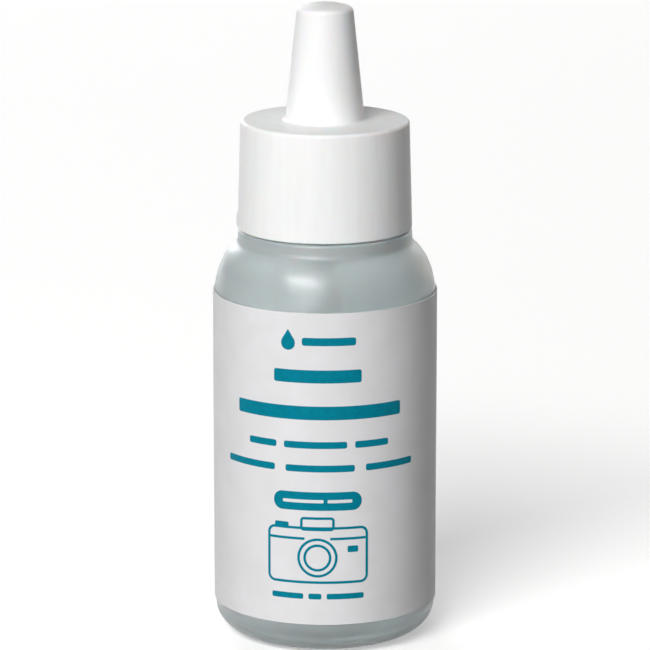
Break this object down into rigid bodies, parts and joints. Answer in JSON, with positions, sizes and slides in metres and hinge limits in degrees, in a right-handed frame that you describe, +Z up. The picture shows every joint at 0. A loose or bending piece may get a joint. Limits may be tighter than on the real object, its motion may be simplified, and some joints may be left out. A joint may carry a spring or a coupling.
{
  "type": "lens cleaning spray",
  "caption": "Small squeeze-spray bottle of lens cleaning fluid: wrapped label, press-in nozzle with dip tube, and a screw cap with a long tapered nose.",
  "frame": {"origin": "centre of the ring that the bottle stands on", "axes": "+Z up along the bottle's axis towards the nose of the cap; -Y is the front, where the label's print faces; +Y is the back, where the label's seam is"},
  "size_m": [0.031, 0.031, 0.0886],
  "materials": {
    "bottle_polyethylene": "satin",
    "label_film": "matte",
    "fluid": "gloss",
    "nozzle_polyethylene": "satin",
    "tube_polyethylene": "satin",
    "cap_polypropylene": "satin",
    "liner_foam": "matte",
    "seal_rubber": "matte",
    "label_ink": "matte"
  },
  "bodies": {
    "squeeze_bottle": {"bottle": "bottle_polyethylene", "wrap_label": "label_film", "cleaning_fluid": "fluid", "spray_nozzle": "nozzle_polyethylene", "mixing_core": "nozzle_polyethylene", "dip_tube": "tube_polyethylene"},
    "cap_lifter": {"cap_liner": "liner_foam"},
    "cap": {"screw_cap": "cap_polypropylene", "tip_seal": "seal_rubber"}
  },
  "joints": [
    {"name": "cap_lift", "type": "slide", "parent": "squeeze_bottle", "child": "cap_lifter", "axis": [0, 0, 1], "range_m": [0, 0.0318]},
    {"name": "cap_turn", "type": "hinge", "parent": "cap_lifter", "child": "cap", "pos_m": [0, 0, 0.0574], "axis": [0, 0, 1], "range_deg": [0, 3600]}
  ],
  "couplings": [
    {"joint": "cap_lift", "follows": "cap_turn", "m_per_rad": 0.00050532}
  ]
}
